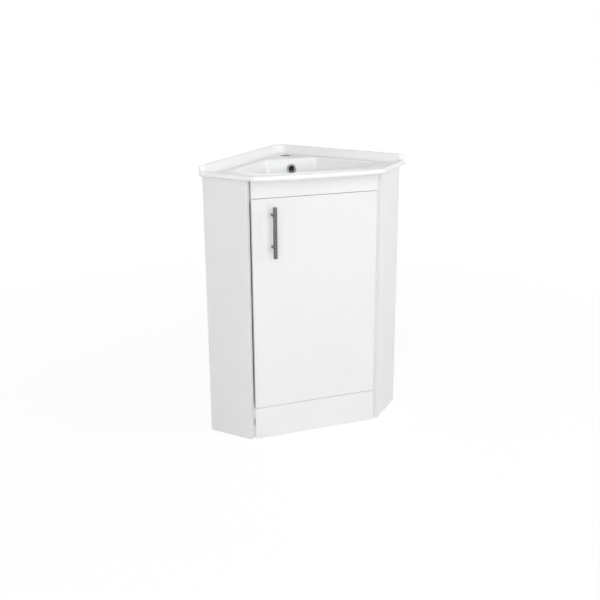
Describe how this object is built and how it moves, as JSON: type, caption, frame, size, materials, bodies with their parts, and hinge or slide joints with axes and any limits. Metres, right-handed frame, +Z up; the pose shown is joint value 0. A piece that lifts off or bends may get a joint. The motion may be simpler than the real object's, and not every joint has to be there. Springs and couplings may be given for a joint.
{
  "type": "corner vanity unit",
  "caption": "White gloss corner cabinet with one hinged door and a bar handle, under a ceramic corner washbasin with a raised rim, tap hole and overflow.",
  "frame": {"origin": "middle of the unit's footprint, on the floor", "axes": "+Z up, -Y the side that the door faces, +Y towards the corner of the room, +X to the right of someone who faces the door"},
  "size_m": [0.6484, 0.4468, 0.85],
  "materials": {
    "glaze": "gloss",
    "chrome": "polished",
    "white_board": "gloss",
    "inside_board": "satin",
    "dowel": "matte",
    "steel": "satin",
    "handle_steel": "satin",
    "buffer": "matte"
  },
  "bodies": {
    "cabinet": {"basin": "glaze", "overflow_ring": "chrome", "left_side_panel": "white_board", "right_side_panel": "white_board", "base_panel": "inside_board", "plinth_panel": "white_board", "top_rail": "white_board", "front_batten": "inside_board", "corner_post": "inside_board", "left_upper_rail": "inside_board", "right_upper_rail": "inside_board", "left_lower_rail": "inside_board", "right_lower_rail": "inside_board", "left_back_panel": "inside_board", "right_back_panel": "inside_board", "carcass_dowels": "dowel", "corner_brackets": "steel", "plinth_brackets": "steel", "bracket_screws": "steel", "rail_screws": "steel", "upper_hinge_arm": "steel", "lower_hinge_arm": "steel", "arm_screws": "steel", "upper_hinge_plate": "steel", "lower_hinge_plate": "steel", "plate_screws": "steel"},
    "door": {"door_panel": "white_board", "door_buffers": "buffer", "handle_bar": "handle_steel", "handle_posts": "handle_steel", "handle_screws": "steel", "upper_hinge_cup": "steel", "lower_hinge_cup": "steel", "upper_hinge_pin": "steel", "lower_hinge_pin": "steel", "cup_screws": "steel"}
  },
  "joints": [
    {"name": "door_swing", "type": "hinge", "parent": "cabinet", "child": "door", "pos_m": [0.17849, -0.16495, 0.43265], "axis": [0, 0, 1], "range_deg": [0, 95]}
  ]
}
